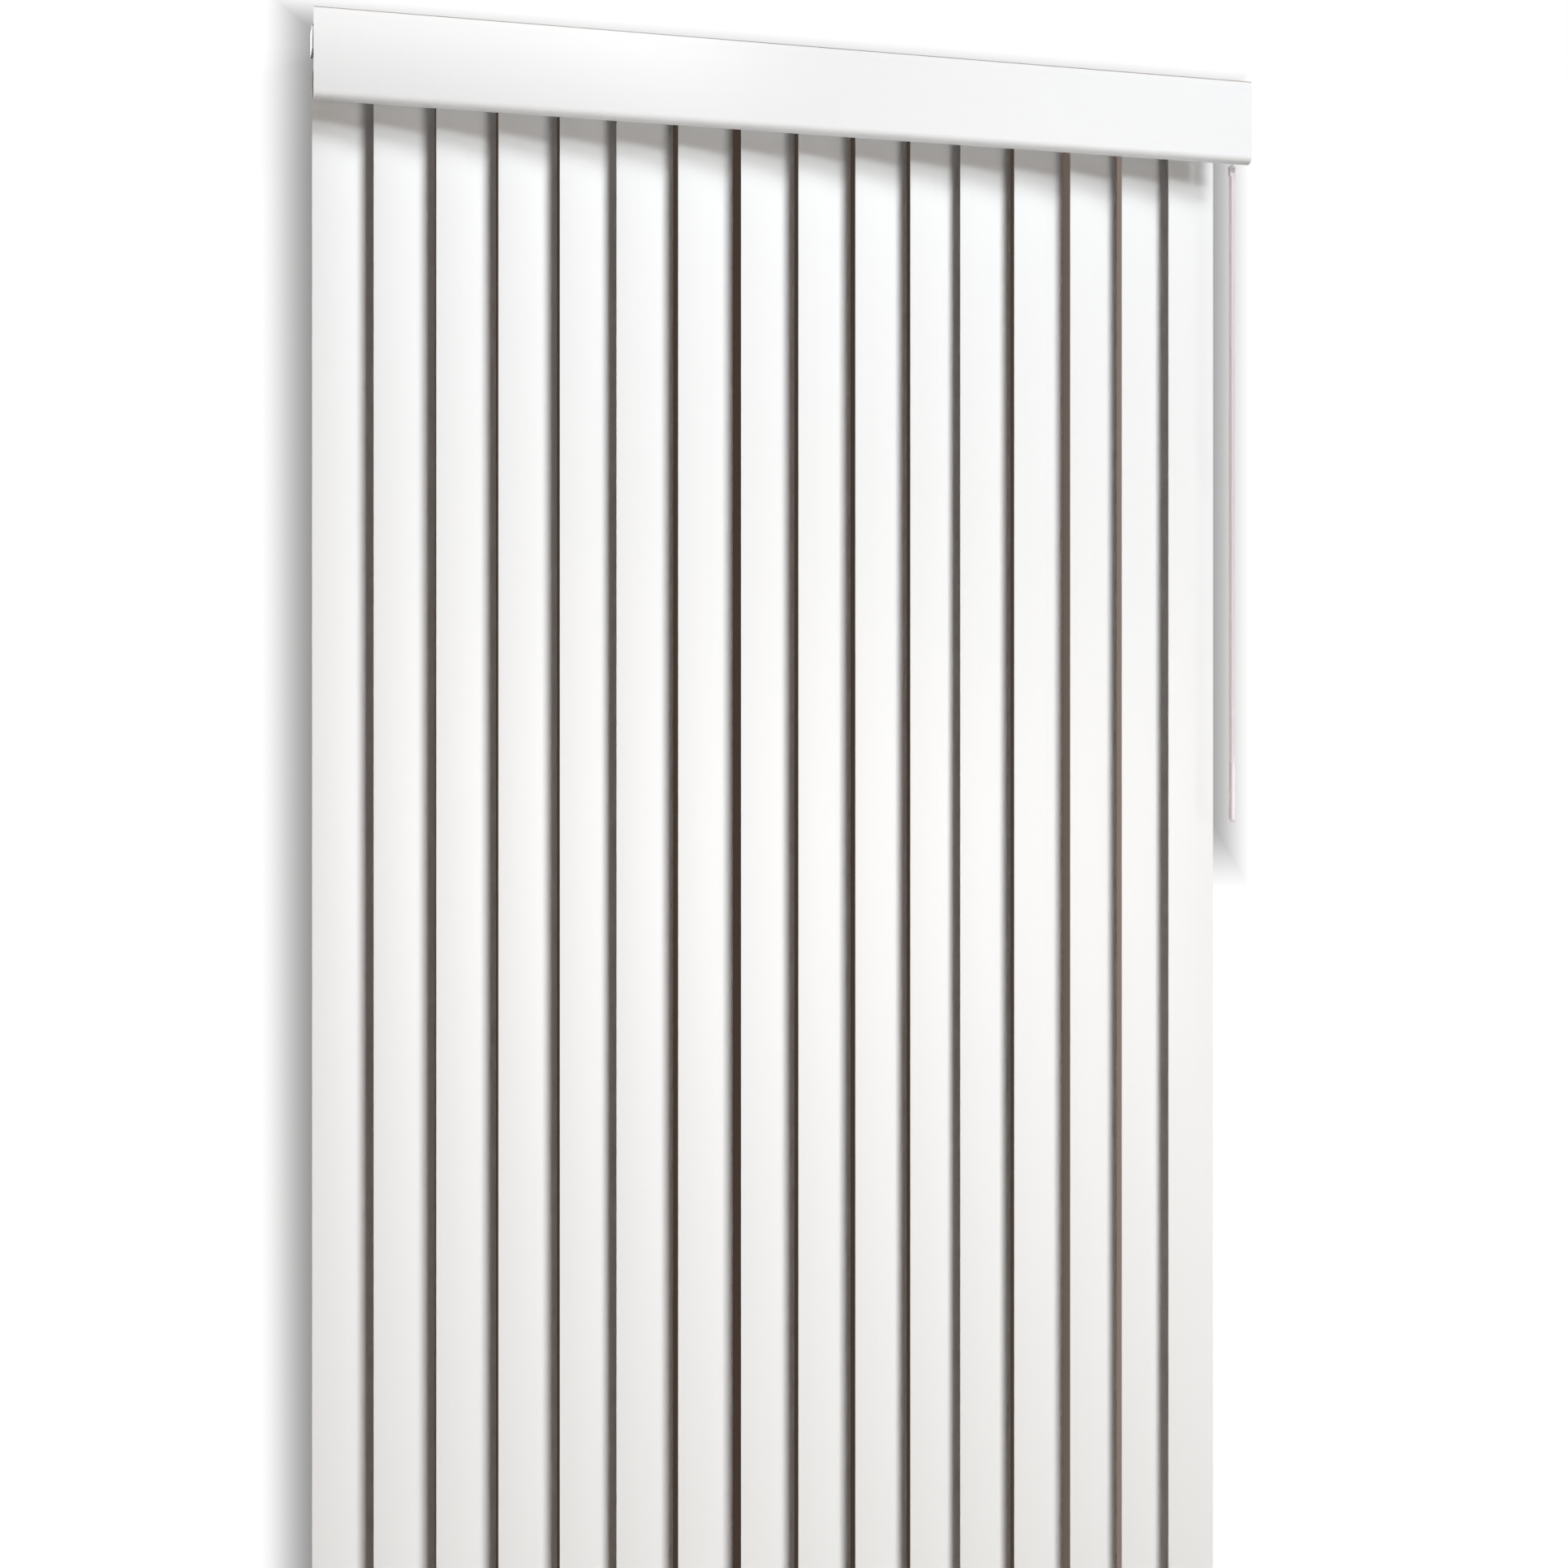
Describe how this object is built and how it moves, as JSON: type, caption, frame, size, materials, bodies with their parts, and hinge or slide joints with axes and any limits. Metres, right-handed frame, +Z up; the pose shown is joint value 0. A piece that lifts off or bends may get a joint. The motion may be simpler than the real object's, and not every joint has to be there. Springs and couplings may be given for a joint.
{
  "type": "vertical blind",
  "caption": "Vertical blind of curved vinyl vanes hung from geared carriers in a slotted headrail, with a flat valance, a hanging wand and wall brackets.",
  "frame": {"origin": "on the wall, midway along the headrail, at the middle of the wall screws", "axes": "+X along the rail to the right as seen from the room, +Y into the wall, +Z up"},
  "size_m": [1.23, 0.117, 2.144],
  "materials": {
    "vane_vinyl": "satin white vinyl",
    "valance_vinyl": "satin white vinyl",
    "rail_aluminium": "white enamel",
    "rod_aluminium": "mill finish",
    "carrier_nylon": "moulded nylon",
    "clear_plastic": "clear moulding",
    "cap_plastic": "moulded white",
    "wand_acrylic": "milky acrylic",
    "grip_plastic": "moulded white",
    "bracket_steel": "white enamel",
    "spring_steel": "zinc plated"
  },
  "bodies": {
    "rail_set": {"headrail": "rail_aluminium", "end_cap_left": "cap_plastic", "end_cap_right": "cap_plastic", "wall_brackets": "bracket_steel", "rail_clips": "spring_steel", "bracket_bolts": "spring_steel", "valance": "valance_vinyl", "valance_clips": "clear_plastic"},
    "tilt_rod": {"tilt_rod": "rod_aluminium"},
    "carrier_01": {"carrier_01": "carrier_nylon"},
    "carrier_02": {"carrier_02": "carrier_nylon"},
    "carrier_03": {"carrier_03": "carrier_nylon"},
    "carrier_04": {"carrier_04": "carrier_nylon"},
    "carrier_05": {"carrier_05": "carrier_nylon"},
    "carrier_06": {"carrier_06": "carrier_nylon"},
    "carrier_07": {"carrier_07": "carrier_nylon"},
    "carrier_08": {"carrier_08": "carrier_nylon"},
    "carrier_09": {"carrier_09": "carrier_nylon"},
    "carrier_10": {"carrier_10": "carrier_nylon"},
    "carrier_11": {"carrier_11": "carrier_nylon"},
    "carrier_12": {"carrier_12": "carrier_nylon"},
    "carrier_13": {"carrier_13": "carrier_nylon"},
    "carrier_14": {"carrier_14": "carrier_nylon"},
    "carrier_15": {"carrier_15": "carrier_nylon"},
    "lead_carrier": {"lead_carrier": "carrier_nylon"},
    "vane_set_01": {"stem_01": "clear_plastic", "vane_01": "vane_vinyl"},
    "vane_set_02": {"stem_02": "clear_plastic", "vane_02": "vane_vinyl"},
    "vane_set_03": {"stem_03": "clear_plastic", "vane_03": "vane_vinyl"},
    "vane_set_04": {"stem_04": "clear_plastic", "vane_04": "vane_vinyl"},
    "vane_set_05": {"stem_05": "clear_plastic", "vane_05": "vane_vinyl"},
    "vane_set_06": {"stem_06": "clear_plastic", "vane_06": "vane_vinyl"},
    "vane_set_07": {"stem_07": "clear_plastic", "vane_07": "vane_vinyl"},
    "vane_set_08": {"stem_08": "clear_plastic", "vane_08": "vane_vinyl"},
    "vane_set_09": {"stem_09": "clear_plastic", "vane_09": "vane_vinyl"},
    "vane_set_10": {"stem_10": "clear_plastic", "vane_10": "vane_vinyl"},
    "vane_set_11": {"stem_11": "clear_plastic", "vane_11": "vane_vinyl"},
    "vane_set_12": {"stem_12": "clear_plastic", "vane_12": "vane_vinyl"},
    "vane_set_13": {"stem_13": "clear_plastic", "vane_13": "vane_vinyl"},
    "vane_set_14": {"stem_14": "clear_plastic", "vane_14": "vane_vinyl"},
    "vane_set_15": {"stem_15": "clear_plastic", "vane_15": "vane_vinyl"},
    "vane_set_16": {"stem_16": "clear_plastic", "vane_16": "vane_vinyl"},
    "wand_stem": {"wand_stem": "clear_plastic"},
    "wand": {"wand_rod": "wand_acrylic", "wand_grip": "grip_plastic"}
  },
  "joints": [
    {"name": "traverse", "type": "slide", "parent": "rail_set", "child": "lead_carrier", "axis": [1, 0, 0], "range_m": [-0.8566, 0]},
    {"name": "glide_15", "type": "slide", "parent": "rail_set", "child": "carrier_15", "axis": [1, 0, 0], "range_m": [-0.80879, 0]},
    {"name": "glide_14", "type": "slide", "parent": "rail_set", "child": "carrier_14", "axis": [1, 0, 0], "range_m": [-0.75411, 0]},
    {"name": "glide_13", "type": "slide", "parent": "rail_set", "child": "carrier_13", "axis": [1, 0, 0], "range_m": [-0.69486, 0]},
    {"name": "glide_12", "type": "slide", "parent": "rail_set", "child": "carrier_12", "axis": [1, 0, 0], "range_m": [-0.63943, 0]},
    {"name": "glide_11", "type": "slide", "parent": "rail_set", "child": "carrier_11", "axis": [1, 0, 0], "range_m": [-0.59008, 0]},
    {"name": "glide_10", "type": "slide", "parent": "rail_set", "child": "carrier_10", "axis": [1, 0, 0], "range_m": [-0.53465, 0]},
    {"name": "glide_09", "type": "slide", "parent": "rail_set", "child": "carrier_09", "axis": [1, 0, 0], "range_m": [-0.47768, 0]},
    {"name": "glide_08", "type": "slide", "parent": "rail_set", "child": "carrier_08", "axis": [1, 0, 0], "range_m": [-0.42148, 0]},
    {"name": "glide_07", "type": "slide", "parent": "rail_set", "child": "carrier_07", "axis": [1, 0, 0], "range_m": [-0.35919, 0]},
    {"name": "glide_06", "type": "slide", "parent": "rail_set", "child": "carrier_06", "axis": [1, 0, 0], "range_m": [-0.29994, 0]},
    {"name": "glide_05", "type": "slide", "parent": "rail_set", "child": "carrier_05", "axis": [1, 0, 0], "range_m": [-0.24755, 0]},
    {"name": "glide_04", "type": "slide", "parent": "rail_set", "child": "carrier_04", "axis": [1, 0, 0], "range_m": [-0.19059, 0]},
    {"name": "glide_03", "type": "slide", "parent": "rail_set", "child": "carrier_03", "axis": [1, 0, 0], "range_m": [-0.13362, 0]},
    {"name": "glide_02", "type": "slide", "parent": "rail_set", "child": "carrier_02", "axis": [1, 0, 0], "range_m": [-0.07742, 0]},
    {"name": "glide_01", "type": "slide", "parent": "rail_set", "child": "carrier_01", "axis": [1, 0, 0], "range_m": [-0.02351, 0]},
    {"name": "tilt", "type": "hinge", "parent": "lead_carrier", "child": "vane_set_16", "pos_m": [0.5576, -0.055, -0.03], "axis": [0, 0, 1], "range_deg": [0, 150]},
    {"name": "tilt_15", "type": "hinge", "parent": "carrier_15", "child": "vane_set_15", "pos_m": [0.48978, -0.055, -0.03], "axis": [0, 0, 1], "range_deg": [0, 150]},
    {"name": "tilt_14", "type": "hinge", "parent": "carrier_14", "child": "vane_set_14", "pos_m": [0.41511, -0.055, -0.03], "axis": [0, 0, 1], "range_deg": [0, 150]},
    {"name": "tilt_13", "type": "hinge", "parent": "carrier_13", "child": "vane_set_13", "pos_m": [0.33586, -0.055, -0.03], "axis": [0, 0, 1], "range_deg": [0, 150]},
    {"name": "tilt_12", "type": "hinge", "parent": "carrier_12", "child": "vane_set_12", "pos_m": [0.26042, -0.055, -0.03], "axis": [0, 0, 1], "range_deg": [0, 150]},
    {"name": "tilt_11", "type": "hinge", "parent": "carrier_11", "child": "vane_set_11", "pos_m": [0.19108, -0.055, -0.03], "axis": [0, 0, 1], "range_deg": [0, 150]},
    {"name": "tilt_10", "type": "hinge", "parent": "carrier_10", "child": "vane_set_10", "pos_m": [0.11564, -0.055, -0.03], "axis": [0, 0, 1], "range_deg": [0, 150]},
    {"name": "tilt_09", "type": "hinge", "parent": "carrier_09", "child": "vane_set_09", "pos_m": [0.03868, -0.055, -0.03], "axis": [0, 0, 1], "range_deg": [0, 150]},
    {"name": "tilt_08", "type": "hinge", "parent": "carrier_08", "child": "vane_set_08", "pos_m": [-0.03752, -0.055, -0.03], "axis": [0, 0, 1], "range_deg": [0, 150]},
    {"name": "tilt_07", "type": "hinge", "parent": "carrier_07", "child": "vane_set_07", "pos_m": [-0.11982, -0.055, -0.03], "axis": [0, 0, 1], "range_deg": [0, 150]},
    {"name": "tilt_06", "type": "hinge", "parent": "carrier_06", "child": "vane_set_06", "pos_m": [-0.19906, -0.055, -0.03], "axis": [0, 0, 1], "range_deg": [0, 150]},
    {"name": "tilt_05", "type": "hinge", "parent": "carrier_05", "child": "vane_set_05", "pos_m": [-0.27145, -0.055, -0.03], "axis": [0, 0, 1], "range_deg": [0, 150]},
    {"name": "tilt_04", "type": "hinge", "parent": "carrier_04", "child": "vane_set_04", "pos_m": [-0.34842, -0.055, -0.03], "axis": [0, 0, 1], "range_deg": [0, 150]},
    {"name": "tilt_03", "type": "hinge", "parent": "carrier_03", "child": "vane_set_03", "pos_m": [-0.42538, -0.055, -0.03], "axis": [0, 0, 1], "range_deg": [0, 150]},
    {"name": "tilt_02", "type": "hinge", "parent": "carrier_02", "child": "vane_set_02", "pos_m": [-0.50158, -0.055, -0.03], "axis": [0, 0, 1], "range_deg": [0, 150]},
    {"name": "tilt_01", "type": "hinge", "parent": "carrier_01", "child": "vane_set_01", "pos_m": [-0.57549, -0.055, -0.03], "axis": [0, 0, 1], "range_deg": [0, 150]},
    {"name": "rod_spin", "type": "hinge", "parent": "rail_set", "child": "tilt_rod", "pos_m": [0, -0.045, 0.0071], "axis": [1, 0, 0], "range_deg": [0, 1800]},
    {"name": "wand_spin", "type": "hinge", "parent": "lead_carrier", "child": "wand_stem", "pos_m": [0.6009, -0.087, -0.08], "axis": [0, 0, 1], "range_deg": [0, 1800]},
    {"name": "wand_swing", "type": "hinge", "parent": "wand_stem", "child": "wand", "pos_m": [0.6009, -0.087, -0.08], "axis": [-1, 0, 0], "range_deg": [0, 50]}
  ],
  "couplings": [
    {"joint": "glide_15", "follows": "traverse", "ratio": 0.94418},
    {"joint": "glide_14", "follows": "traverse", "ratio": 0.88035},
    {"joint": "glide_13", "follows": "traverse", "ratio": 0.81118},
    {"joint": "glide_12", "follows": "traverse", "ratio": 0.74646},
    {"joint": "glide_11", "follows": "traverse", "ratio": 0.68886},
    {"joint": "glide_10", "follows": "traverse", "ratio": 0.62414},
    {"joint": "glide_09", "follows": "traverse", "ratio": 0.55765},
    {"joint": "glide_08", "follows": "traverse", "ratio": 0.49204},
    {"joint": "glide_07", "follows": "traverse", "ratio": 0.41931},
    {"joint": "glide_06", "follows": "traverse", "ratio": 0.35015},
    {"joint": "glide_05", "follows": "traverse", "ratio": 0.28899},
    {"joint": "glide_04", "follows": "traverse", "ratio": 0.22249},
    {"joint": "glide_03", "follows": "traverse", "ratio": 0.15599},
    {"joint": "glide_02", "follows": "traverse", "ratio": 0.090385},
    {"joint": "glide_01", "follows": "traverse", "ratio": 0.027446},
    {"joint": "tilt_15", "follows": "tilt", "ratio": 1},
    {"joint": "tilt_14", "follows": "tilt", "ratio": 1},
    {"joint": "tilt_13", "follows": "tilt", "ratio": 1},
    {"joint": "tilt_12", "follows": "tilt", "ratio": 1},
    {"joint": "tilt_11", "follows": "tilt", "ratio": 1},
    {"joint": "tilt_10", "follows": "tilt", "ratio": 1},
    {"joint": "tilt_09", "follows": "tilt", "ratio": 1},
    {"joint": "tilt_08", "follows": "tilt", "ratio": 1},
    {"joint": "tilt_07", "follows": "tilt", "ratio": 1},
    {"joint": "tilt_06", "follows": "tilt", "ratio": 1},
    {"joint": "tilt_05", "follows": "tilt", "ratio": 1},
    {"joint": "tilt_04", "follows": "tilt", "ratio": 1},
    {"joint": "tilt_03", "follows": "tilt", "ratio": 1},
    {"joint": "tilt_02", "follows": "tilt", "ratio": 1},
    {"joint": "tilt_01", "follows": "tilt", "ratio": 1},
    {"joint": "rod_spin", "follows": "tilt", "ratio": 12},
    {"joint": "wand_spin", "follows": "tilt", "ratio": 12}
  ]
}
